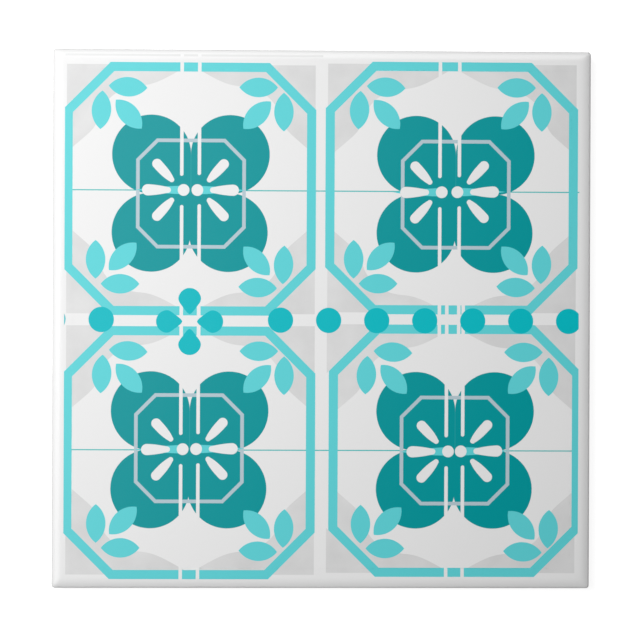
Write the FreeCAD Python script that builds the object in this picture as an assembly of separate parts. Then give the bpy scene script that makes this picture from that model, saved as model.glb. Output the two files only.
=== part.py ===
"""Pressed ceramic wall tile: one fired piece with a softly rolled glazed face and a ribbed back.

Units are millimetres, +Z is up. The tile lies on its back: the origin is the middle of the bed face, which is
the plane of the ribs that meet the mortar, and the glazed face looks up.
"""

import math
import os

import FreeCAD
import Part

# Overall body
TILE_SIDE = 152.0
TILE_THICKNESS = 6.4
CORNER_RADIUS = 0.9

# The edge of the glazed face rolls down to the side along a quarter of an ellipse
EDGE_ROLL_WIDTH = 3.2
EDGE_ROLL_DROP = 1.3
EDGE_ROLL_STEPS = 6

# The pressed side leans in towards the back, and the back's arris is taken off
SIDE_TAPER = 0.25
BED_CHAMFER = 0.5

# Keying pockets pressed into the back, with ribs between them and a plain margin round the edge
BED_MARGIN = 7.0
POCKETS_PER_SIDE = 6
RIB_WIDTH = 3.0
POCKET_DEPTH = 0.8
POCKET_CORNER_RADIUS = 2.2
POCKET_WALL_LEAN = 35.0

NODE = "tile"

# Worked out from the sizes above
ROLL_FOOT = TILE_THICKNESS - EDGE_ROLL_DROP
BED_SIDE = TILE_SIDE - 2 * (SIDE_TAPER + BED_CHAMFER)


def rounded_square(side, radius, height):
    """Closed wire of a square with round corners, centred on the Z axis at the given height."""
    outer = side / 2
    inner = outer - radius
    mid_arc = inner + radius * math.cos(math.radians(45))
    edges = []
    for quarter in range(4):
        turn = FreeCAD.Rotation(FreeCAD.Vector(0, 0, 1), 90 * quarter)

        def place(x, y):
            return turn.multVec(FreeCAD.Vector(x, y, height))

        edges.append(Part.LineSegment(place(outer, -inner), place(outer, inner)).toShape())
        arc = Part.Arc(place(outer, inner), place(mid_arc, mid_arc), place(inner, outer))
        edges.append(arc.toShape())
    return Part.Wire(edges)


def pressed_body():
    """The side wall from the bed to the foot of the roll, leaning out as it rises, with the lower arris chamfered."""
    taper_left = SIDE_TAPER * (ROLL_FOOT - BED_CHAMFER) / ROLL_FOOT
    sections = [
        rounded_square(BED_SIDE, CORNER_RADIUS, 0),
        rounded_square(TILE_SIDE - 2 * taper_left, CORNER_RADIUS, BED_CHAMFER),
        rounded_square(TILE_SIDE, CORNER_RADIUS, ROLL_FOOT),
    ]
    return Part.makeLoft(sections, True, True)


def rolled_face():
    """The cap above the side wall: rounded squares that shrink and rise along a quarter of an ellipse."""
    sections = []
    for step in range(EDGE_ROLL_STEPS + 1):
        angle = math.radians(90 * step / EDGE_ROLL_STEPS)
        inset = EDGE_ROLL_WIDTH * (1 - math.cos(angle))
        rise = EDGE_ROLL_DROP * math.sin(angle)
        sections.append(rounded_square(TILE_SIDE - 2 * inset, CORNER_RADIUS, ROLL_FOOT + rise))
    return Part.makeLoft(sections, True, False)


def keying_pocket(mouth):
    """A shallow square pocket, open at the bed face, with walls that lean in and rounded corners between them."""
    half = mouth / 2
    floor_half = half - POCKET_DEPTH * math.tan(math.radians(POCKET_WALL_LEAN))
    pocket = Part.makeWedge(
        -half, 0, -half, -floor_half, -floor_half, half, POCKET_DEPTH, half, floor_half, floor_half
    )
    pocket.rotate(FreeCAD.Vector(), FreeCAD.Vector(1, 0, 0), 90)
    corners = [edge for edge in pocket.Edges if edge.BoundBox.ZLength > POCKET_DEPTH / 2]
    return pocket.makeFillet(POCKET_CORNER_RADIUS, corners)


def keying_pockets():
    """The square pattern of pockets that leaves the ribs and the plain margin standing."""
    field = BED_SIDE - 2 * BED_MARGIN
    pitch = (field + RIB_WIDTH) / POCKETS_PER_SIDE
    pocket = keying_pocket(pitch - RIB_WIDTH)
    first = -pitch * (POCKETS_PER_SIDE - 1) / 2
    pockets = []
    for column in range(POCKETS_PER_SIDE):
        for row in range(POCKETS_PER_SIDE):
            copy = pocket.copy()
            copy.translate(FreeCAD.Vector(first + pitch * column, first + pitch * row, 0))
            pockets.append(copy)
    return Part.makeCompound(pockets)


def tile():
    body = pressed_body().fuse(rolled_face()).removeSplitter()
    return body.cut(keying_pockets())


def main():
    os.makedirs("parts", exist_ok=True)
    shape = tile()
    solid = shape.Solids[0]
    solid.exportStep(os.path.join("parts", NODE + ".step"))
    box = solid.optimalBoundingBox()
    print(NODE, len(shape.Solids), "solid", solid.isValid(), "valid")
    print("size", round(box.XLength, 3), round(box.YLength, 3), round(box.ZLength, 3))
    print("volume", round(solid.Volume, 1), "faces", len(solid.Faces))


main()
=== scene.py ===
"""Looks of a pressed wall tile: a printed and glazed face, rolled edges and a ribbed biscuit back.

The packed model is the frame. Lengths are metres, the glazed face looks up along +Z, and the print is
laid out from the middle of the face with +Y towards the top of the pattern.
"""

import math

import bpy
import numpy as np
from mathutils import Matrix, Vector


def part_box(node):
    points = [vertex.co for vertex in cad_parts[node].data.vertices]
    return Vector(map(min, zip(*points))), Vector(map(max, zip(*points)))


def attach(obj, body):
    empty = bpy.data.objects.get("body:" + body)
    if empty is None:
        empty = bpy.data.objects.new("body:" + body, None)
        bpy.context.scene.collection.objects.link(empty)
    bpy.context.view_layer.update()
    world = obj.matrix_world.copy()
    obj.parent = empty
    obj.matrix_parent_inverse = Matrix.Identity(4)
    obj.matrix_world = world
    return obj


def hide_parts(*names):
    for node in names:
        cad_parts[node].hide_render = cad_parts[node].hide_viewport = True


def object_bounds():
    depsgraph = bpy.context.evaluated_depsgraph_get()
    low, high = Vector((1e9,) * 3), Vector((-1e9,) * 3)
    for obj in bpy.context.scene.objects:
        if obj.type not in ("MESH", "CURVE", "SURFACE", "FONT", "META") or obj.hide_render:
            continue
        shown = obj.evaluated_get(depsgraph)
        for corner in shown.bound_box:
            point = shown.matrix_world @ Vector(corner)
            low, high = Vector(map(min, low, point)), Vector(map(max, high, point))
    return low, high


bl_info = {
    "name": "Azulejo Tile",
    "version": (1, 0, 0),
    "blender": (4, 5, 0),
    "location": "View3D > Sidebar > Azulejo",
    "description": "Builds a glazed and printed wall tile and the studio stage that it lies on",
    "category": "Add Mesh",
}

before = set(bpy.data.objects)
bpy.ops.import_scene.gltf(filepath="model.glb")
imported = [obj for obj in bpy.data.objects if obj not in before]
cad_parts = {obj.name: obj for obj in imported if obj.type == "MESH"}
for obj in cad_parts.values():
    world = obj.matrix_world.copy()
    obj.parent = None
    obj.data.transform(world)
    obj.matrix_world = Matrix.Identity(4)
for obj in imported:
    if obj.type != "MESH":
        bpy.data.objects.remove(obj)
CAD_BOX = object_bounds()
NODE = "tile"
TILE_LOW, TILE_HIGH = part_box(NODE)

MM = 0.001
WHITE = (1.0, 1.0, 1.0, 1.0)
BLACK = (0.0, 0.0, 0.0, 1.0)

# How finely the tile's surface is divided
ROLL_STEPS = 14
FLOOR_STEPS = 4
WALL_STEPS = 6
SIDE_RINGS = 5

# Grid lines that agree to so many decimals are one line, and a smaller radius than the least is none
GRID_DECIMALS = 8
LEAST_RADIUS = 1e-9

# Noise on the surfaces: features to the metre, and layers of finer detail
PANEL_VEINS = (110.0, 5.0)
GLAZE_WAVES = (55.0, 3.0)
GLAZE_SMEARS = (35.0, 2.0)
GLAZE_RIPPLES = (240.0, 2.0)
GLAZE_GRAIN = (1500.0, 2.0)
CLAY_PATCHES = (45.0, 3.0)
CLAY_SPECKS = (2600.0, 2.0)
CLAY_GRAIN = (1800.0, 3.0)
CLAY_DIMPLES = (400.0, 2.0)

# Where the baked copy of the colours goes: the face, the back beside it and the four sides below
MAP_GAP = 0.012
MAP_FACE_SHARE = 0.86

# Colour sockets of a Mix node, by number because its other sockets have the same names
MIX_UNDER = 6
MIX_OVER = 7
MIX_RESULT = 2

# The cells of the print in reading order: upper left, upper right, lower left, lower right
UPPER_ROW = slice(0, 2)
LOWER_ROW = slice(2, 4)

# The layers of the print don't quite register, so each has its own middle in each cell, in millimetres.
LAYER_MIDDLES = {
    "panels": ((-36.89, 36.32), (36.71, 36.89), (-36.85, -37.16), (36.65, -36.58)),
    "medallions": ((-37.25, 36.31), (37.21, 35.82), (-36.88, -36.66), (37.84, -37.19)),
    "frames": ((-37.24, 36.40), (36.63, 36.96), (-37.20, -37.89), (37.82, -37.15)),
    "flowers": ((-36.95, 35.15), (37.76, 35.26), (-37.03, -37.07), (37.85, -37.00)),
    "octagons": ((-36.92, 35.08), (37.75, 35.18), (-37.20, -36.61), (37.72, -37.07)),
    "seeds": ((-37.06, 36.09), (36.00, 35.87), (-37.08, -36.86), (37.68, -37.29)),
    "sprigs": ((-37.00, 36.50), (35.75, 36.86), (-36.66, -37.80), (38.00, -37.85)),
}

# How much wider the pairs of seeds and slits stand in each cell, in millimetres, and how far the seeds
# are turned, in radians
SEED_SPREADS = (0.0, 0.27, -0.04, -0.15)
SEED_TURNS = (0.0, 0.011, 0.012, 0.012)

# Leaves of the sprigs: how far each is turned from level, in degrees, and its place across and up from the
# cell's middle in each corner of the cell, in millimetres
SPRIG_LEAVES = (
    (0, (17.76, 19.07, 19.81, 19.01), (28.53, 28.58, 26.90, 27.79)),
    (90, (25.22, 26.22, 26.71, 26.29), (22.01, 21.70, 20.04, 21.37)),
    (45, (17.52, 18.65, 19.09, 18.67), (20.85, 20.78, 19.20, 20.29)),
)

# How much the whole sprig in each corner is turned besides, in radians
SPRIG_TURNS = (0.054, 0.0, 0.0, 0.038)


def number(label, words, value, **settings):
    """A number property."""
    return bpy.props.FloatProperty(name=label, description=words, default=value, precision=5, **settings)


def share(label, words, value):
    """A number property between 0 and 1."""
    return number(label, words, value, min=0.0, max=1.0, subtype="FACTOR")


def angle(label, words, degrees):
    """An angle property, stored in radians, with its default given in degrees."""
    return number(label, words, math.radians(degrees), unit="ROTATION", subtype="ANGLE")


def length(label, words, millimetres):
    """A length property, stored in metres, with its default given in millimetres."""
    return number(label, words, millimetres * MM, unit="LENGTH", subtype="DISTANCE")


def spot(label, words, millimetres):
    """A property for a place, stored in metres, with its default given in millimetres."""
    metres = [value * MM for value in millimetres]
    return bpy.props.FloatVectorProperty(
        name=label, description=words, default=metres, precision=5, unit="LENGTH", subtype="TRANSLATION"
    )


def linear(level):
    """The linear light of an 8-bit display level, by the sRGB curve."""
    shown = level / 255
    if shown <= 0.04045:
        return shown / 12.92
    return ((shown + 0.055) / 1.055) ** 2.4


def colour(label, words, red, green, blue):
    """A colour property, with its default given as 8-bit display levels."""
    levels = (linear(red), linear(green), linear(blue), 1.0)
    return bpy.props.FloatVectorProperty(
        name=label, description=words, default=levels, size=4, min=0.0, max=1.0, subtype="COLOR"
    )


class TileBody(bpy.types.PropertyGroup):
    """Sizes of the pressed body."""

    side: length("Side", "Length of each side over the glaze", (TILE_HIGH.x - TILE_LOW.x) / MM)
    thickness: length("Thickness", "From the ribs of the back to the glazed face", TILE_HIGH.z / MM)
    corner_radius: length("Corner radius", "Radius of the corners seen from above", 0.9)
    roll_width: length("Roll width", "Width of the rolled edge of the face", 3.2)
    roll_drop: length("Roll drop", "Height that the face loses over the rolled edge", 1.3)
    side_taper: length("Side taper", "How far each side leans in towards the back", 0.25)
    bed_chamfer: length("Bed chamfer", "Width of the chamfer round the back", 0.5)
    arris: length("Arris", "Width over which the pressed edges are softened", 0.12)
    bed_margin: length("Bed margin", "Plain rim between the back's edge and the pockets", 7.0)
    pockets: bpy.props.IntProperty(
        name="Pockets", description="Keying pockets along each side", default=6, min=2
    )
    rib_width: length("Rib width", "Width of the ribs between the pockets", 3.0)
    pocket_depth: length("Pocket depth", "Depth of the keying pockets", 0.8)
    pocket_corner: length("Pocket corner", "Radius of the pockets' corners", 2.2)
    pocket_lean: angle("Pocket lean", "Lean of the pockets' walls from upright", 35.0)


class TilePrint(bpy.types.PropertyGroup):
    """Sizes of the printed motifs."""

    soft_edge: length("Soft edge", "Width over which a printed edge fades", 0.12)
    middle: spot("Print middle", "Where the middle of the print lies on the tile", (-0.132, 0.16, 0.0))
    turn: angle("Print turn", "How far the print is turned on the tile", -0.03)
    scale: number("Print scale", "Size of the print against the sizes given here", 1.00105, min=0.01)
    right_wider: number("Right cells wider", "Share by which the right-hand cells' motifs are wider", 0.005)
    left_edge: length("Left edge", "Left end of the print", -72.39)
    right_edge: length("Right edge", "Right end of the print", 72.75)
    cell_across: length("Cell border across", "Where the right-hand cells start", 0.2)
    cell_up: length("Cell border up", "Where the lower cells start", -0.42)
    frame_half: length("Frame", "Half the width of the eight-sided frames", 35.6)
    frame_band: length("Frame band", "Width of the frames' band", 2.58)
    frame_chamfer: length("Frame chamfer", "Length that a frame's cut corner takes off each side", 13.17)
    panel_half: length("Panel", "Half the width of the grey panels", 35.05)
    medallion_width: length("Medallion width", "Half width of the medallion away from its points", 26.2)
    medallion_height: length("Medallion height", "Half height of the medallion away from its points", 28.95)
    medallion_corner: length("Medallion corner", "Radius of the medallion's corners", 12.0)
    top_point: length("Top point", "Half width of the points above and below", 10.95)
    top_rise: number("Top rise", "How fast those points rise towards the middle", 0.56)
    side_point: length("Side point", "Half height of the points to left and right", 17.6)
    side_rise: number("Side rise", "How fast those points reach out towards the middle", 1.16)
    point_blend: length("Point blend", "How softly the points spring from the medallion's sides", 4.0)
    upper_hairline: length("Upper hairline", "Height of the upper cells' hairline", 36.0)
    lower_hairline: length("Lower hairline", "Height of the lower cells' hairline", -37.1)
    hairline_width: length("Hairline width", "Width of the hairlines", 0.3)
    rim_hairline: length("Rim hairline", "Height of the faint line above the upper left cell", 74.0)
    rim_width: length("Rim hairline width", "Width of that faint line", 0.6)
    petal_radius: length("Petal radius", "Radius of each petal", 11.12)
    petal_across: length("Petal across", "From the flower's middle across to an upper petal's middle", 11.1)
    lower_closer: length("Lower petals closer", "How much nearer to the middle the lower petals are", 0.22)
    lower_left: length("Lower petals left", "How far the middle of the lower petals lies to the left", 0.28)
    petal_up: length("Petal up", "From the flower's middle up to a petal's middle", 10.985)
    seam_width: length("Seam width", "Width of the fine upright line in a flower", 0.14)
    octagon_half: length("Octagon", "Half the width of the eight-sided line on a flower", 15.47)
    octagon_band: length("Octagon band", "Width of that line", 1.0)
    octagon_chamfer: length("Octagon chamfer", "Length that its cut corner takes off each side", 5.81)
    bar_half: length("Bar length", "Half length of the pointed bar behind the seeds", 15.5)
    bar_width: length("Bar width", "Half width of that bar", 1.2)
    dot_offset: length("Dot offset", "From a flower's middle to each dot", 1.94)
    dot_radius: length("Dot radius", "Radius of the dots", 1.65)
    slit_offset: length("Slit offset", "From a flower's middle to each slit", 2.47)
    slit_width: length("Slit width", "Width of the slits", 0.97)
    slit_start: length("Slit start", "Height at which the slits begin", 4.1)
    slit_end: length("Slit end", "Height at which the slits end", 41.5)
    slit_skew: number("Slit skew", "Rise of the right slit of a pair for each unit across", 0.05)
    leaf_half: length("Leaf length", "Half length of a leaf", 5.45)
    leaf_width: length("Leaf width", "Half width of a leaf", 2.75)
    bead_radius: length("Bead radius", "Radius of the beads", 3.57)
    bead_step: length("Bead step", "Distance between the beads", 13.57)
    bead_up: length("Bead height", "Height of the row of beads", -0.45)
    bead_clear: length("Bead clearance", "Length beside the drops that the runs of beads leave free", 18.0)
    first_right_bead: length("First right bead", "A bead of the right-hand run", 2.0)
    first_left_bead: length("First left bead", "The bead of the left-hand run", -61.99)
    drop_across: length("Drops across", "Middle of the four drops, across", -37.15)
    drop_up: length("Drops up", "Middle of the four drops, up", -0.93)
    drop_reach: length("Drop reach", "From that middle to a drop's round end", 6.24)
    drop_radius: length("Drop radius", "Radius of a drop's round end", 3.2)
    drop_tip: length("Drop tip", "From that middle to a drop's blunt tip", 2.0)
    drop_apex: length("Drop apex", "From that middle to where a drop's straight sides would meet", 1.6)
    drop_lean: angle("Drop lean", "Lean of a drop's straight sides from its axis", 38.7)
    drop_blend: length("Drop blend", "How softly a drop's straight sides run into its ends", 1.0)


class TileColours(bpy.types.PropertyGroup):
    """Colours of the glaze, the print and the clay, and the painted shade on the rolled edge's rim."""

    white: colour("Glaze white", "Unprinted glaze", 233, 233, 233)
    grey: colour("Panel grey", "Corners of the panels", 216, 216, 216)
    hairline: colour("Hairline", "Fine lines across the cells", 40, 184, 182)
    rim_line: colour("Rim line", "Faint line near the upper edge", 219, 219, 219)
    teal: colour("Petal teal", "The four petals", 4, 148, 153)
    seam: colour("Petal seam", "Fine upright line in the flowers", 44, 161, 165)
    turquoise: colour("Turquoise", "Frames, leaves and bars", 96, 208, 213)
    lilac: colour("Octagon lilac", "Eight-sided line on the flowers", 179, 198, 206)
    cyan: colour("Bead cyan", "Beads and drops", 7, 184, 193)
    # Painted shade: a neutral grey laid over the outer rim of the rolled edge, deepest at its foot
    painted_rim_shade: colour("Thin glaze", "Glaze where it draws back from the edge", 208, 208, 207)
    biscuit: colour("Biscuit", "Fired clay of the back", 226, 217, 203)
    biscuit_dark: colour("Biscuit shade", "Darker specks and patches of the clay", 201, 187, 168)


class TileFinish(bpy.types.PropertyGroup):
    """Gloss, grain and edges of the glaze and the clay, and where the painted shade on the rolled edge's rim
    lies.
    """

    grey_mottle: share("Grey mottle", "Share by which the veins make the grey paler and deeper", 0.05)
    vein_contrast: number("Vein contrast", "How sharply the pale and deep veins part", 2.5)
    glaze_roughness: share("Glaze roughness", "Roughness of the glaze", 0.12)
    glaze_smear: share("Glaze smear", "How much that roughness varies from place to place", 0.06)
    glaze_bump: share("Glaze bump", "Strength of the glaze's relief", 0.25)
    glaze_relief: length("Glaze relief", "Height of that relief", 0.06)
    glaze_grain: share("Glaze grain", "Share of fine grain in that relief", 0.06)
    bare_grain: number("Bare grain", "Share added to that grain where the clay is bare", 1.4)
    # The painted shade on the rolled edge's rim: the height where it starts, and the height over which it
    # deepens
    rim_shade_start: length("Thin glaze start", "Height on the rolled edge where the glaze starts to thin", 5.75)
    rim_shade_fade: length("Thin glaze fade", "Height over which it gets thinner", 0.65)
    glaze_line: length("Glaze line", "Height on the sides at which the glaze ends", 1.9)
    glaze_wander: length("Glaze wander", "How far that line wanders up and down", 1.6)
    glaze_end: length("Glaze end", "Height over which the glaze fades out at that line", 0.25)
    biscuit_roughness: share("Biscuit roughness", "Roughness of the bare clay", 0.85)
    biscuit_bump: share("Biscuit bump", "Strength of the clay's relief", 0.5)
    biscuit_relief: length("Biscuit relief", "Height of that relief", 0.15)
    biscuit_dimples: share("Biscuit dimples", "Share of broad dimples in that relief", 0.8)
    patch_strength: share("Patch strength", "How dark the clay's broad patches get", 0.55)
    speck_strength: share("Speck strength", "How dark the clay's specks get", 0.7)
    speck_start: share("Speck start", "Level of the noise from which a speck shows", 0.6)
    speck_contrast: number("Speck contrast", "How sharply the specks stand out", 5.0)


class TileStage(bpy.types.PropertyGroup):
    """Camera, light and floor."""

    camera_place: spot("Camera place", "Where the camera stands", (-18.81, 0.89, 700.0))
    camera_turn: bpy.props.FloatVectorProperty(
        name="Camera turn", description="How the camera is turned from straight down",
        default=(math.radians(-0.1414), math.radians(-1.5527), math.radians(0.2145)),
        unit="ROTATION", subtype="EULER"
    )
    lens: number("Lens", "Focal length in millimetres", 137.431, unit="CAMERA")
    clip_start: length("Clip start", "Nearest distance that the camera shows", 10.0)
    box_place: spot("Softbox place", "Middle of the softbox", (-188.0, 113.5, 397.0))
    box_aim: spot("Softbox aim", "Point of the floor that the softbox looks at", (79.5, -68.0, 0.0))
    box_width: length("Softbox width", "Level side of the softbox", 381.0)
    box_height: length("Softbox height", "Leaning side of the softbox", 189.0)
    box_power: number("Softbox power", "Light of the softbox", 2.115, min=0.0, unit="POWER")
    room_light: share("Room light", "Even light from the room", 0.19)
    floor_grey: colour("Floor", "Colour of the floor", 172, 172, 172)
    floor_glow: share("Floor glow", "What the camera sees added to the lit floor", 0.87)
    floor_roughness: share("Floor roughness", "Roughness of the floor", 0.9)
    floor_side: length("Floor side", "Side of the square floor", 6000.0)
    card_height: length("Card height", "Height of the graduated card that the glaze mirrors", 1000.0)
    card_side: length("Card side", "Side of that card", 3000.0)
    card_clear: length("Card clear", "From the card's middle to where it starts to fade to white", 1050.0)
    card_light: number("Card light", "Light of the card over the tile's middle", 0.449, min=0.0)
    card_brightest: number("Card brightest", "Light that the card's bright side tends to", 1.1, min=0.01)
    card_dim: share("Card dim", "How much of that light is taken off all over", 0.096)
    card_fall: bpy.props.FloatVectorProperty(
        name="Card fall", description="How fast the card's light changes across and up, for each metre",
        default=(-8.06, 3.76), size=2
    )
    ring_radius: length("Ring radius", "Middle radius of the brighter half ring on the card", 870.0)
    ring_width: length("Ring width", "Width of that ring", 860.0)
    ring_soft: length("Ring soft", "Width over which the ring's edges fade", 120.0)
    ring_light: number("Ring light", "Light of the ring to the upper left", 2.5, min=0.0)


class Wire:
    """An output of a shader tree. Arithmetic between wires and numbers adds Math nodes."""

    def __init__(self, tree, socket):
        self.tree = tree
        self.socket = socket

    @classmethod
    def node(cls, tree, kind, settings=None, sockets=None, output=0):
        """Adds a node with its settings and its sockets' values or links, and gives one output's wire."""
        made = tree.nodes.new(kind)
        for name, value in (settings or {}).items():
            setattr(made, name, value)
        for name, value in (sockets or {}).items():
            if isinstance(value, Wire):
                tree.links.new(value.socket, made.inputs[name])
            else:
                made.inputs[name].default_value = value
        return cls(tree, made.outputs[output]) if made.outputs else None

    def math(self, operation, *others, clamp=False):
        """A Math node on this wire and the others."""
        settings = {"operation": operation, "use_clamp": clamp}
        return Wire.node(self.tree, "ShaderNodeMath", settings, dict(enumerate((self, *others))))

    def over(self, paint, amount):
        """This colour with a paint laid over it by an amount from 0 to 1."""
        sockets = {"Factor": amount, MIX_UNDER: self, MIX_OVER: paint}
        return Wire.node(self.tree, "ShaderNodeMix", {"data_type": "RGBA"}, sockets, MIX_RESULT)

    def __add__(self, other):
        return self.math("ADD", other)

    def __sub__(self, other):
        return self.math("SUBTRACT", other)

    def __rsub__(self, other):
        return self.math("MULTIPLY_ADD", -1.0, other)

    def __mul__(self, other):
        return self.math("MULTIPLY", other)

    def __gt__(self, other):
        return self.math("GREATER_THAN", other)

    def __lt__(self, other):
        return self.math("LESS_THAN", other)

    def __abs__(self):
        return self.math("ABSOLUTE")

    __radd__ = __add__
    __rmul__ = __mul__


def both(first, second):
    """Signed distance of what two shapes share."""
    return first.math("MAXIMUM", second)


def either(first, second):
    """Signed distance of two shapes together."""
    return first.math("MINIMUM", second)


def far(across, up):
    """Straight distance of a point from the zero point."""
    return (across * across + up * up).math("SQRT")


def band(shape, width):
    """Signed distance of the band that lies along the inside of a shape's edge."""
    return abs(shape + width / 2) - width / 2


def eight_sided(across, up, half, chamfer):
    """Signed distance of a square with cut corners: the farthest of its level, upright and slanted edges."""
    level = both(abs(across), abs(up)) - half
    slant = (abs(across) + abs(up) - (2 * half - chamfer)) * math.sqrt(0.5)
    return both(level, slant)


def leaf_shape(along, across, half_length, half_width):
    """Signed distance of the pointed shape where two equal circles overlap."""
    radius = (half_length**2 + half_width**2) / (2 * half_width)
    return far(along, abs(across) + (radius - half_width)) - radius


def seed_shape(across, up, fat, tip, fat_radius, tip_radius, swell):
    """Signed distance of a stroke whose radius falls off from its fat end to its tip by a power."""
    reach = math.dist(fat, tip)
    turn_x = (tip[0] - fat[0]) / reach
    turn_y = (tip[1] - fat[1]) / reach
    from_x = across - fat[0]
    from_y = up - fat[1]
    along = from_x * turn_x + from_y * turn_y
    aside = from_x * turn_y - from_y * turn_x
    share_along = along.math("DIVIDE", reach, clamp=True)
    taper = share_along.math("POWER", swell)
    radius = taper * (tip_radius - fat_radius) + fat_radius
    return far(aside, along - share_along * reach) - radius


def by_quarter(right, lower, values, unit=MM):
    """A value that differs in the four quarters: upper left, upper right, lower left, lower right."""
    upper_left, upper_right, lower_left, lower_right = [value * unit for value in values]
    upper_row = right.math("MULTIPLY_ADD", upper_right - upper_left, upper_left)
    step = lower_left - upper_left
    step_change = lower_right - lower_left - (upper_right - upper_left)
    return lower.math("MULTIPLY_ADD", right.math("MULTIPLY_ADD", step_change, step), upper_row)


class PrintPlan:
    """Signed distances, in metres, from the edges of the print's motifs: below zero is inside."""

    # Seeds of one quarter of a flower: fat end, tip and their radii in millimetres, and the taper's power
    SEEDS = (
        ((12.08, 0.0), (6.32, 0.0), 1.57, 0.80, 1.6),
        ((9.41, 7.34), (5.31, 2.89), 1.39, 0.72, 2.9),
    )

    def __init__(self, across, up, sizes):
        self.across = across
        self.up = up
        self.sizes = sizes
        self.right = across > sizes.cell_across
        self.lower = up < sizes.cell_up

    def by_cell(self, values, unit=MM):
        """A value that differs in the four cells."""
        return by_quarter(self.right, self.lower, values, unit)

    def from_middle(self, layer):
        """Place of a point measured from the middle of its cell in one layer of the print."""
        columns, rows = zip(*LAYER_MIDDLES[layer])
        wider = self.sizes.right_wider
        narrowing = self.right.math("MULTIPLY_ADD", -wider, 1 + wider / 2)
        return (self.across - self.by_cell(columns)) * narrowing, self.up - self.by_cell(rows)

    def grey_panels(self):
        """Squares that don't stand out past the frames' sides, less the white medallion."""
        size = self.sizes
        across, up = self.from_middle("panels")
        panel = both(abs(across), abs(up)) - size.panel_half
        across, up = self.from_middle("frames")
        inside = both(abs(across), abs(up)) - size.frame_half
        corner = (2 * size.frame_half - size.frame_chamfer) - (abs(across) + abs(up))
        return both(both(panel, either(inside, corner)), self.medallions() * -1)

    def medallions(self):
        """Oblongs with round corners, whose sides rise to points, softly at first and then straight."""
        size = self.sizes
        across, up = [abs(place) for place in self.from_middle("medallions")]
        rise = ((size.top_point - across) * size.top_rise).math("SMOOTH_MAX", 0.0, size.point_blend)
        reach = ((size.side_point - up) * size.side_rise).math("SMOOTH_MAX", 0.0, size.point_blend)
        corner = size.medallion_corner
        beyond_across = (across - reach - (size.medallion_width - corner)).math("MAXIMUM", 0.0)
        beyond_up = (up - rise - (size.medallion_height - corner)).math("MAXIMUM", 0.0)
        return far(beyond_across, beyond_up) - corner

    def hairlines(self):
        """Two fine level lines."""
        size = self.sizes
        nearer = either(abs(self.up - size.upper_hairline), abs(self.up - size.lower_hairline))
        return nearer - size.hairline_width / 2

    def rim_line(self):
        """A fine level line over the upper left cell."""
        size = self.sizes
        return both(abs(self.up - size.rim_hairline) - size.rim_width / 2, self.across - size.cell_across)

    def flowers(self):
        """Four round petals, the lower two a little closer and to the left, and a square between them."""
        size = self.sizes
        across, up = self.from_middle("flowers")
        lower = up < 0.0
        aside = abs(lower.math("MULTIPLY_ADD", size.lower_left, across))
        across = lower.math("MULTIPLY_ADD", size.lower_closer, aside) - size.petal_across
        up = abs(up) - size.petal_up
        return either(far(across, up) - size.petal_radius, both(across, up))

    def seams(self):
        """Fine upright lines from a flower's middle to the notch between its upper petals."""
        size = self.sizes
        across, up = self.from_middle("flowers")
        half = size.petal_up / 2
        return both(abs(across) - size.seam_width / 2, abs(up - half) - half)

    def frames(self):
        """Bands along the inside of large eight-sided shapes."""
        size = self.sizes
        across, up = self.from_middle("frames")
        return band(eight_sided(across, up, size.frame_half, size.frame_chamfer), size.frame_band)

    def octagons(self):
        """Bands along the inside of the small eight-sided shapes."""
        size = self.sizes
        across, up = self.from_middle("octagons")
        return band(eight_sided(across, up, size.octagon_half, size.octagon_chamfer), size.octagon_band)

    def folded_seeds(self):
        """One quarter of a flower's seeds, which stand in mirrored pairs and are turned a little."""
        across, up = self.from_middle("seeds")
        turn = self.by_cell(SEED_TURNS, unit=1.0)
        return abs(across) - self.by_cell(SEED_SPREADS), abs(up - across * turn)

    def bars(self):
        """Long pointed bars behind the seeds, with a gap between the two dots."""
        size = self.sizes
        across, up = self.folded_seeds()
        return both(leaf_shape(across, up, size.bar_half, size.bar_width), size.dot_offset - across)

    def seeds(self):
        """Two dots, and seeds that taper towards the flower's middle."""
        across, up = self.folded_seeds()
        shape = far(across - self.sizes.dot_offset, up) - self.sizes.dot_radius
        for fat, tip, fat_radius, tip_radius, swell in self.SEEDS:
            fat = [value * MM for value in fat]
            tip = [value * MM for value in tip]
            seed = seed_shape(across, up, fat, tip, fat_radius * MM, tip_radius * MM, swell)
            shape = either(shape, seed)
        return shape

    def slits(self):
        """Upright slits with a round inner end. Those of both rows cut whatever they reach."""
        size = self.sizes
        half = size.slit_width / 2
        row_slits = []
        for row in (UPPER_ROW, LOWER_ROW):
            left, right = [
                (x * MM, y * MM, spread * MM)
                for (x, y), spread in zip(LAYER_MIDDLES["seeds"][row], SEED_SPREADS[row])
            ]
            middle_x, middle_y, spread = [
                self.right.math("MULTIPLY_ADD", there - here, here) for here, there in zip(left, right)
            ]
            from_x = self.across - middle_x
            across = abs(from_x) - spread - size.slit_offset
            up = abs(self.up - middle_y - from_x * size.slit_skew)
            round_end = far(across, (up - (size.slit_start + half)).math("MINIMUM", 0.0)) - half
            row_slits.append(both(round_end, up - size.slit_end))
        return either(*row_slits)

    def sprigs(self):
        """Three leaves in each corner of a cell: a level one, an upright one and a slanted one between."""
        size = self.sizes
        from_x, from_y = self.from_middle("sprigs")
        right = from_x > 0.0
        lower = from_y < 0.0
        turn = by_quarter(right, lower, SPRIG_TURNS, unit=1.0)
        leaves = []
        for degrees, places_across, places_up in SPRIG_LEAVES:
            across = abs(from_x) - by_quarter(right, lower, places_across)
            up = abs(from_y) - by_quarter(right, lower, places_up)
            cosine = math.cos(math.radians(degrees))
            sine = math.sin(math.radians(degrees))
            along = across * cosine + up * sine
            aside = up * cosine - across * sine
            turned_along = along + aside * turn
            turned_aside = aside - along * turn
            leaves.append(leaf_shape(turned_along, turned_aside, size.leaf_half, size.leaf_width))
        return either(either(leaves[0], leaves[1]), leaves[2])

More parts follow.
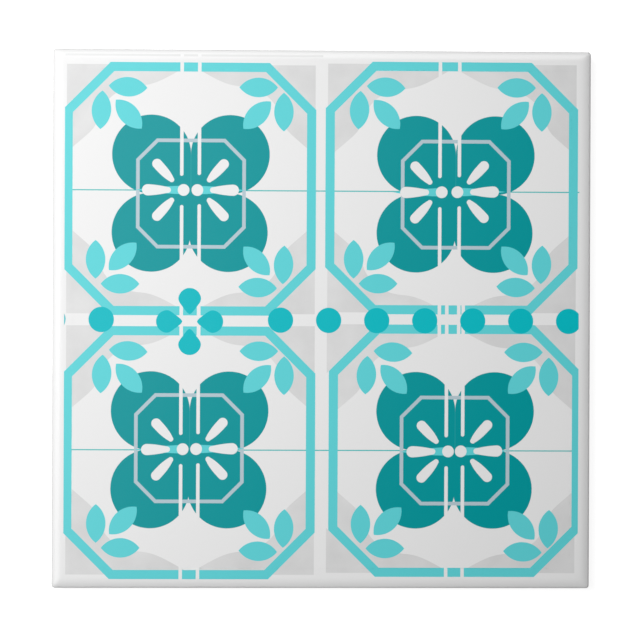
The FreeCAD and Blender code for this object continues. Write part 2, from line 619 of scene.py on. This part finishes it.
    def beads(self):
        """Two runs of round beads at an even step along one level line."""
        size = self.sizes
        up = self.up - size.bead_up
        left_run = self.across < size.drop_across
        between_runs = size.first_left_bead - size.first_right_bead
        first = left_run.math("MULTIPLY_ADD", between_runs, size.first_right_bead)
        across = (self.across - first).math("PINGPONG", size.bead_step / 2)
        near_drops = size.bead_clear - abs(self.across - size.drop_across)
        return both(far(across, up) - size.bead_radius, near_drops)

    def drops(self):
        """Four drops round a point: a disc with two straight sides cut into it, which end in a blunt tip."""
        size = self.sizes
        across = abs(self.across - size.drop_across)
        up = abs(self.up - size.drop_up)
        along = across.math("MAXIMUM", up)
        aside = across.math("MINIMUM", up)
        sine = math.sin(size.drop_lean)
        cosine = math.cos(size.drop_lean)
        disc = far(along - size.drop_reach, aside) - size.drop_radius
        # The foot is where a line from the disc's middle meets a side squarely. Nearer to the tip than that,
        # only the sides bound a drop.
        foot = size.drop_reach - (size.drop_reach - size.drop_apex) * sine * sine
        sides = aside * cosine - (along - size.drop_apex) * sine
        drop = either(disc, along - foot).math("SMOOTH_MAX", sides, size.drop_blend)
        return drop.math("SMOOTH_MAX", size.drop_tip - along, size.drop_blend)


def covered(shape, soft_edge):
    """1 inside a shape, 0 outside, fading over a soft edge."""
    return shape.math("MULTIPLY_ADD", -1 / soft_edge, 0.5, clamp=True)


def noise(place, kind):
    """Cloudy noise from 0 to 1, with so many features to the metre and layers of finer detail."""
    scale, detail = kind
    sockets = {"Vector": place, "Scale": scale, "Detail": detail}
    return Wire.node(place.tree, "ShaderNodeTexNoise", {}, sockets, "Fac")


def grey_light(level):
    """A grey of one linear level."""
    return (level, level, level, 1.0)


def flat_colour(tree, paint):
    """A wire that carries one colour."""
    made = Wire.node(tree, "ShaderNodeRGB")
    made.socket.default_value = paint
    return made


def printed_colour(place, across, up, sizes, paints, finish):
    """The glaze white with the print's layers laid over it one by one."""
    plan = PrintPlan(across, up, sizes)
    veins = noise(place, PANEL_VEINS) - 0.5
    paleness = veins.math("MULTIPLY_ADD", finish.vein_contrast, 0.5, clamp=True)
    pale_grey = [value * (1 + finish.grey_mottle) for value in paints.grey]
    deep_grey = [value * (1 - finish.grey_mottle) for value in paints.grey]
    grey = flat_colour(place.tree, deep_grey).over(pale_grey, paleness)
    layers = (
        (plan.grey_panels, grey),
        (plan.hairlines, paints.hairline),
        (plan.rim_line, paints.rim_line),
        (plan.flowers, paints.teal),
        (plan.seams, paints.seam),
        (plan.frames, paints.turquoise),
        (plan.octagons, paints.lilac),
        (plan.bars, paints.turquoise),
        (plan.slits, paints.white),
        (plan.seeds, paints.white),
        (plan.sprigs, paints.turquoise),
        (plan.beads, paints.cyan),
        (plan.drops, paints.cyan),
    )
    shown = flat_colour(place.tree, paints.white)
    for motif, paint in layers:
        shown = shown.over(paint, covered(motif(), sizes.soft_edge))
    window = both(sizes.left_edge - plan.across, plan.across - sizes.right_edge)
    return shown.over(paints.white, 1.0 - covered(window, sizes.soft_edge))


def new_material(name):
    """An empty node material and its tree."""
    made = bpy.data.materials.new(name)
    made.use_nodes = True
    made.node_tree.nodes.clear()
    return made, made.node_tree


def set_surface(tree, sockets):
    """Joins a Principled shader with these values and links to the tree's output."""
    shader = Wire.node(tree, "ShaderNodeBsdfPrincipled", {}, sockets)
    Wire.node(tree, "ShaderNodeOutputMaterial", {}, {"Surface": shader})


def set_glowing_surface(tree, paint, roughness, glow):
    """Joins a surface without gloss, which also gives off light, to the tree's output."""
    sockets = {"Base Color": paint, "Roughness": roughness, "Specular IOR Level": 0.0}
    sockets.update({"Emission Color": glow, "Emission Strength": 1.0})
    set_surface(tree, sockets)


def object_place(tree):
    """The place of a point on its piece."""
    return Wire.node(tree, "ShaderNodeTexCoord", output="Object")


def across_up_height(place):
    """The three parts of a place."""
    split = Wire.node(place.tree, "ShaderNodeSeparateXYZ", {}, {"Vector": place})
    return [Wire(place.tree, socket) for socket in split.socket.node.outputs]


def biscuit_colour(place, paints, finish):
    """Fired clay: broad kiln patches and fine specks."""
    patches = noise(place, CLAY_PATCHES)
    above = noise(place, CLAY_SPECKS) - finish.speck_start
    specks = above.math("MULTIPLY", finish.speck_contrast, clamp=True)
    clay = flat_colour(place.tree, paints.biscuit).over(paints.biscuit_dark, patches * finish.patch_strength)
    return clay.over(paints.biscuit_dark, specks * finish.speck_strength)


def glaze_material(paints, sizes, finish):
    """Printed glaze that runs over the rolled edge and ends in a wandering line low on the sides."""
    made, tree = new_material("printed_glaze")
    place = object_place(tree)
    sockets = {
        "Vector": place,
        "Location": sizes.middle,
        "Rotation": (0.0, 0.0, sizes.turn),
        "Scale": (sizes.scale, sizes.scale, 1.0),
    }
    laid = Wire.node(tree, "ShaderNodeMapping", {"vector_type": "TEXTURE"}, sockets)
    across, up, height = across_up_height(laid)
    shown = printed_colour(place, across, up, sizes, paints, finish)
    # Painted shade: thin is the share of grey laid over the outer rim of the rolled edge, full at the roll's
    # foot
    thin = (finish.rim_shade_start - height).math("DIVIDE", finish.rim_shade_fade, clamp=True)
    shown = shown.over(paints.painted_rim_shade, thin)
    wander = (noise(place, GLAZE_WAVES) - 0.5) * (2 * finish.glaze_wander)
    bare = covered(height - wander - finish.glaze_line, finish.glaze_end)
    shown = shown.over(biscuit_colour(place, paints, finish), bare)
    smoothest = finish.glaze_roughness - finish.glaze_smear / 2
    smear = noise(place, GLAZE_SMEARS) * finish.glaze_smear + smoothest
    roughness = smear + bare * (finish.biscuit_roughness - finish.glaze_roughness)
    grain = noise(place, GLAZE_GRAIN) * (bare * finish.bare_grain + finish.glaze_grain)
    relief = noise(place, GLAZE_RIPPLES) + grain
    sockets = {"Height": relief, "Strength": finish.glaze_bump, "Distance": finish.glaze_relief}
    normal = Wire.node(tree, "ShaderNodeBump", {}, sockets)
    set_surface(tree, {"Base Color": shown, "Roughness": roughness, "Normal": normal})
    return made


def biscuit_material(paints, finish):
    """Bare pressed clay of the back."""
    made, tree = new_material("biscuit_back")
    place = object_place(tree)
    shown = biscuit_colour(place, paints, finish)
    relief = noise(place, CLAY_GRAIN) + noise(place, CLAY_DIMPLES) * finish.biscuit_dimples
    sockets = {"Height": relief, "Strength": finish.biscuit_bump, "Distance": finish.biscuit_relief}
    normal = Wire.node(tree, "ShaderNodeBump", {}, sockets)
    set_surface(tree, {"Base Color": shown, "Roughness": finish.biscuit_roughness, "Normal": normal})
    return made


def pocket_pitch(body):
    """Distance between the middles of two pockets, for a whole number of them inside the margin."""
    bed_side = body.side - 2 * (body.side_taper + body.bed_chamfer)
    return (bed_side - 2 * body.bed_margin + body.rib_width) / body.pockets


def pocket_wall(body):
    """Half widths of a pocket at the start and the end of its softened wall."""
    mouth = (pocket_pitch(body) - body.rib_width) / 2
    floor = mouth - body.pocket_depth * math.tan(body.pocket_lean)
    return floor - body.arris, mouth + body.arris


def grid_lines(body):
    """Places of the grid lines along a side, close together on the rolled edge and the pockets' walls."""
    pitch = pocket_pitch(body)
    wall_in, wall_out = pocket_wall(body)
    corner_start = wall_in - body.pocket_corner
    floor = np.linspace(corner_start, wall_in, FLOOR_STEPS, endpoint=False)
    wall = np.linspace(wall_in, wall_out, WALL_STEPS)
    one_side = np.concatenate(([corner_start / 2], floor, wall, [pitch / 2]))
    middles = (np.arange(body.pockets) - (body.pockets - 1) / 2) * pitch
    pockets = middles[:, None] + np.concatenate((-one_side, [0.0], one_side))
    roll = body.side / 2 - body.roll_width * (1 - np.sin(np.linspace(0, math.pi / 2, ROLL_STEPS + 1)))
    return np.unique(np.round(np.concatenate((pockets.ravel(), -roll, roll)), GRID_DECIMALS))


def round_corners(x, y, radius):
    """Rounds the corners of square rings: the last stretch, one radius long, goes round an arc."""
    reach = np.maximum(np.abs(x), np.abs(y))
    other = np.minimum(np.abs(x), np.abs(y))
    start = reach - radius
    past_start = np.clip((other - start) / np.maximum(radius, LEAST_RADIUS), 0, 1)
    turn = past_start * (radius > LEAST_RADIUS) * math.pi / 4
    longer = start + radius * np.cos(turn)
    shorter = np.where(turn > 0, start + radius * np.sin(turn), other)
    x_leads = np.abs(x) >= np.abs(y)
    return np.sign(x) * np.where(x_leads, longer, shorter), np.sign(y) * np.where(x_leads, shorter, longer)


def field_half(body):
    """Half width of the square that holds the pockets and the ribs round them."""
    return pocket_pitch(body) * body.pockets / 2


def rim_radius(body, reach):
    """Corner radius of a ring by its reach: none over the pockets, the tile's own on the rolled edge."""
    start = field_half(body)
    return body.corner_radius * np.clip((reach - start) / (body.side / 2 - body.roll_width - start), 0, 1)


def draw_in(body, along, distance):
    """Moves places outside the pockets' field inwards, evenly from nothing to a distance at the edge."""
    start = field_half(body)
    amount = np.clip((np.abs(along) - start) / (body.side / 2 - start), 0, 1)
    return along - np.sign(along) * amount * distance


def face_surface(body, lines):
    """Glazed face over a square grid: flat, then falling along a quarter of an ellipse towards the edge."""
    x, y = np.meshgrid(lines, lines)
    reach = np.maximum(np.abs(x), np.abs(y))
    over = np.clip((reach - (body.side / 2 - body.roll_width)) / body.roll_width, 0, 1)
    z = body.thickness - body.roll_drop * (1 - np.sqrt(1 - over**2))
    x, y = round_corners(x, y, rim_radius(body, reach))
    return np.stack((x, y, z), axis=-1)


def back_surface(body, lines):
    """Back over the same grid: rounded square pockets with S-shaped walls, each from its own middle."""
    pitch = pocket_pitch(body)
    wall_in, wall_out = pocket_wall(body)
    x, y = np.meshgrid(lines, lines)

    def from_pocket(along):
        """Places along a side measured from the middle of the pocket that they are in."""
        half = field_half(body)
        from_edge = np.clip(along, -half, half) + half
        pocket = np.minimum(np.floor(from_edge / pitch), body.pockets - 1)
        return from_edge - (pocket + 0.5) * pitch

    near_x = from_pocket(x)
    near_y = from_pocket(y)
    reach = np.maximum(np.abs(near_x), np.abs(near_y))
    down = np.clip((wall_out - reach) / (wall_out - wall_in), 0, 1)
    z = body.pocket_depth * down * down * (3 - 2 * down)
    corner = body.pocket_corner
    radius = np.interp(reach, (0, wall_in, wall_out, pitch / 2), (0, corner, corner, 0))
    round_x, round_y = round_corners(near_x, near_y, radius)
    x = draw_in(body, x + round_x - near_x, body.side_taper + body.bed_chamfer)
    y = draw_in(body, y + round_y - near_y, body.side_taper + body.bed_chamfer)
    x, y = round_corners(x, y, rim_radius(body, np.maximum(np.abs(x), np.abs(y))))
    return np.stack((x, y, z), axis=-1)


def border(grid):
    """The outer loop of a square array, anticlockwise from its first corner."""
    return np.concatenate((grid[0, :-1], grid[:-1, -1], grid[-1, :0:-1], grid[:0:-1, 0]))


def side_surface(body, lines):
    """Side walls: the tile's outline carried down a profile that leans in and ends in the chamfer."""
    foot = body.thickness - body.roll_drop
    chamfer = body.bed_chamfer
    lean_left = body.side_taper * (foot - chamfer) / foot
    wall = np.linspace(foot, chamfer + body.arris, SIDE_RINGS + 1)[1:]
    height = np.concatenate((wall, [chamfer, chamfer - body.arris, body.arris]))
    inset = np.interp(height, (0, chamfer, foot), (body.side_taper + chamfer, lean_left, 0))
    x, y = np.meshgrid(lines, lines)
    x = draw_in(body, border(x)[None, :], inset[:, None])
    y = draw_in(body, border(y)[None, :], inset[:, None])
    x, y = round_corners(x, y, np.full(x.shape, body.corner_radius))
    z = np.broadcast_to(height[:, None], x.shape)
    return np.stack((x, y, z), axis=-1)


def grid_faces(grid):
    """Four-sided faces of a square array of vertices, seen from above."""
    return np.stack((grid[:-1, :-1], grid[:-1, 1:], grid[1:, 1:], grid[1:, :-1]), axis=-1).reshape(-1, 4)


def loop_faces(loops):
    """Four-sided faces between loops of vertices that follow each other downwards."""
    upper = loops[:-1]
    lower = loops[1:]
    corners = (lower, np.roll(lower, -1, axis=1), np.roll(upper, -1, axis=1), upper)
    return np.stack(corners, axis=-1).reshape(-1, 4)


def bake_map(body, face, back, side_count, line_count):
    """Map places of all faces' corners: the face large, the back narrow beside it, the sides below."""
    room = MAP_FACE_SHARE - 2 * MAP_GAP
    lower_left = np.array((MAP_GAP, 1 - MAP_GAP - room))
    column = 1 - MAP_FACE_SHARE - MAP_GAP

    def flat(points):
        """Places seen from above, as shares of the tile's side."""
        return points[..., :2] / body.side + 0.5

    whole = np.arange(line_count * line_count).reshape(line_count, line_count)
    corners = grid_faces(whole)
    face_map = lower_left + flat(face).reshape(-1, 2)[corners] * room
    back_place = np.array((MAP_FACE_SHARE, lower_left[1]))
    back_map = back_place + flat(back).reshape(-1, 2)[corners[:, ::-1]] * (column, room)
    strip_height = (lower_left[1] - 2 * MAP_GAP) / 4 - MAP_GAP / 2
    step = np.arange(side_count) / side_count
    per_side = line_count - 1
    along = np.arange(per_side) / per_side
    left, low = np.meshgrid(np.tile(along, 4), step[::-1])
    strip = np.repeat(np.arange(4), per_side)
    floor = MAP_GAP + strip * (strip_height + MAP_GAP / 2)
    u0 = MAP_GAP + left * room
    u1 = u0 + room / per_side
    v0 = floor + low * strip_height
    v1 = v0 + strip_height / side_count
    side_corners = [np.stack(corner, axis=-1) for corner in ((u0, v0), (u1, v0), (u1, v1), (u0, v1))]
    side_map = np.stack(side_corners, axis=-2)
    return np.concatenate((face_map.reshape(-1, 2), side_map.reshape(-1, 2), back_map.reshape(-1, 2)))


class AZULEJO_OT_tile(bpy.types.Operator):
    """Build the glazed tile in place of the packed solid"""

    bl_idname = "azulejo.tile"
    bl_label = "Glazed tile"

    def execute(self, context):
        scene = context.scene
        body = scene.azulejo_body
        lines = grid_lines(body)
        count = len(lines)
        face = face_surface(body, lines)
        sides = side_surface(body, lines)
        back = back_surface(body, lines)
        face_grid = np.arange(count * count).reshape(count, count)
        side_loops = face_grid.size + np.arange(sides.shape[0] * sides.shape[1]).reshape(sides.shape[:2])
        back_grid = face_grid + face_grid.size + side_loops.size
        loops = np.vstack((border(face_grid), side_loops, border(back_grid)))
        groups = (grid_faces(face_grid), loop_faces(loops), grid_faces(back_grid)[:, ::-1])
        points = np.concatenate([part.reshape(-1, 3) for part in (face, sides, back)])

        mesh = bpy.data.meshes.new("glazed_tile")
        mesh.from_pydata(points.tolist(), [], np.concatenate(groups).tolist())
        paints = scene.azulejo_colours
        finish = scene.azulejo_finish
        mesh.materials.append(glaze_material(paints, scene.azulejo_print, finish))
        mesh.materials.append(biscuit_material(paints, finish))
        is_back = np.repeat((0, 1), (len(groups[0]) + len(groups[1]), len(groups[2])))
        mesh.polygons.foreach_set("material_index", is_back.astype(np.int32))
        mesh.polygons.foreach_set("use_smooth", np.ones(len(is_back), dtype=bool))
        uv_map = mesh.uv_layers.new(name="OFBake")
        places = bake_map(body, face, back, len(loops) - 1, count)
        uv_map.data.foreach_set("uv", places.astype(np.float32).ravel())
        mesh.update()

        piece = bpy.data.objects.new("glazed_tile", mesh)
        scene.collection.objects.link(piece)
        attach(piece, "root")
        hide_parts(NODE)
        return {"FINISHED"}


def seen_share(tree):
    """1 for rays that show the surroundings, to the camera or mirrored or through glass, and 0 for light."""
    path = Wire.node(tree, "ShaderNodeLightPath")
    rays = path.socket.node.outputs
    camera, glossy, through = [
        Wire(tree, rays[name]) for name in ("Is Camera Ray", "Is Glossy Ray", "Is Transmission Ray")
    ]
    return (camera + glossy).math("ADD", through, clamp=True)


def flat_square(name, side, height):
    """A level square round the vertical axis."""
    half = side / 2
    corners = [(-half, -half, height), (half, -half, height), (half, half, height), (-half, half, height)]
    mesh = bpy.data.meshes.new(name)
    mesh.from_pydata(corners, [], [(0, 1, 2, 3)])
    made = bpy.data.objects.new(name, mesh)
    bpy.context.scene.collection.objects.link(made)
    return made


class AZULEJO_OT_stage(bpy.types.Operator):
    """Set the floor, the light and the camera round the tile"""

    bl_idname = "azulejo.stage"
    bl_label = "Studio stage"

    def execute(self, context):
        scene = context.scene
        stage = scene.azulejo_stage
        self.lay_floor(stage)
        self.hang_card(stage)
        self.light_room(scene, stage)
        self.hang_softbox(scene, stage)
        self.place_camera(scene, stage)
        scene.view_settings.view_transform = "Standard"
        return {"FINISHED"}

    def lay_floor(self, stage):
        """A pale floor that keeps the tile's shadow and looks white where nothing shades it."""
        floor = flat_square("floor", stage.floor_side, CAD_BOX[0].z)
        made, tree = new_material("pale_floor")
        glow = flat_colour(tree, BLACK).over(grey_light(stage.floor_glow), seen_share(tree))
        set_glowing_surface(tree, stage.floor_grey, stage.floor_roughness, glow)
        floor.data.materials.append(made)

    def hang_card(self, stage):
        """A card overhead that only the gloss sees.

        Its light dies out exponentially from an even upper left, and towards its rim it fades to the
        white surround. A brighter half ring to the upper left gives the rolled edges there their highlight.
        """
        card = flat_square("graduated_card", stage.card_side, stage.card_height)
        made, tree = new_material("card_light")
        across, up, _ = across_up_height(object_place(tree))
        fall_across, fall_up = stage.card_fall
        light = (across * fall_across + up * fall_up).math("EXPONENT") * stage.card_light - stage.card_dim
        level = 1.0 - (light.math("MAXIMUM", 0.0) * (-1 / stage.card_brightest)).math("EXPONENT")
        reach = far(across, up)
        rim_width = stage.card_side / 2 - stage.card_clear
        rim = (reach - stage.card_clear).math("DIVIDE", rim_width, clamp=True)
        ring = covered(abs(reach - stage.ring_radius) - stage.ring_width / 2, stage.ring_soft)
        upper_left = (up - across).math("DIVIDE", stage.ring_radius / 2, clamp=True)
        glow = flat_colour(tree, BLACK).over(grey_light(stage.card_brightest), level).over(WHITE, rim)
        glow = glow.over(grey_light(stage.ring_light), ring * upper_left)
        set_glowing_surface(tree, BLACK, 1.0, glow)
        card.data.materials.append(made)
        card.visible_camera = False
        card.visible_diffuse = False
        card.visible_shadow = False

    def light_room(self, scene, stage):
        """Even light from all round, and a white surround."""
        world = bpy.data.worlds.new("studio")
        world.use_nodes = True
        tree = world.node_tree
        tree.nodes.clear()
        shown = flat_colour(tree, grey_light(stage.room_light)).over(WHITE, seen_share(tree))
        background = Wire.node(tree, "ShaderNodeBackground", {}, {"Color": shown, "Strength": 1.0})
        Wire.node(tree, "ShaderNodeOutputWorld", {}, {"Surface": background})
        scene.world = world

    def hang_softbox(self, scene, stage):
        """One large oblong lamp to the upper left, aimed across the tile."""
        lamp = bpy.data.lights.new("softbox", "AREA")
        lamp.shape = "RECTANGLE"
        lamp.size = stage.box_width
        lamp.size_y = stage.box_height
        lamp.energy = stage.box_power
        holder = bpy.data.objects.new("softbox", lamp)
        holder.location = stage.box_place
        towards = Vector(stage.box_aim) - Vector(stage.box_place)
        holder.rotation_euler = towards.to_track_quat("-Z", "Y").to_euler()
        holder.visible_camera = False
        holder.visible_glossy = False
        scene.collection.objects.link(holder)

    def place_camera(self, scene, stage):
        """A long lens over the tile, looking almost straight down."""
        camera = bpy.data.cameras.new("camera")
        camera.lens = stage.lens
        camera.clip_start = stage.clip_start
        holder = bpy.data.objects.new("camera", camera)
        holder.location = stage.camera_place
        holder.rotation_euler = stage.camera_turn
        scene.collection.objects.link(holder)
        scene.camera = holder


GROUPS = {
    "azulejo_body": TileBody,
    "azulejo_print": TilePrint,
    "azulejo_colours": TileColours,
    "azulejo_finish": TileFinish,
    "azulejo_stage": TileStage,
}


class AZULEJO_PT_panel(bpy.types.Panel):
    """Lists the tile's operators and their sizes and colours"""

    bl_idname = "AZULEJO_PT_panel"
    bl_label = "Azulejo tile"
    bl_space_type = "VIEW_3D"
    bl_region_type = "UI"
    bl_category = "Azulejo"

    def draw(self, context):
        for operator in (AZULEJO_OT_tile, AZULEJO_OT_stage):
            self.layout.operator(operator.bl_idname)
        for name, group in GROUPS.items():
            box = self.layout.box()
            box.label(text=group.__doc__)
            for size in group.__annotations__:
                box.prop(getattr(context.scene, name), size)


CLASSES = (*GROUPS.values(), AZULEJO_OT_tile, AZULEJO_OT_stage, AZULEJO_PT_panel)


def register():
    """Registers the classes and gives the scene their property groups."""
    for made in CLASSES:
        bpy.utils.register_class(made)
    for name, group in GROUPS.items():
        setattr(bpy.types.Scene, name, bpy.props.PointerProperty(type=group))


def unregister():
    """Takes the property groups and the classes away again."""
    for name in GROUPS:
        delattr(bpy.types.Scene, name)
    for made in reversed(CLASSES):
        bpy.utils.unregister_class(made)


def main():
    """Builds the tile and its stage."""
    register()
    bpy.ops.azulejo.tile()
    bpy.ops.azulejo.stage()


if __name__ == "__main__":
    main()
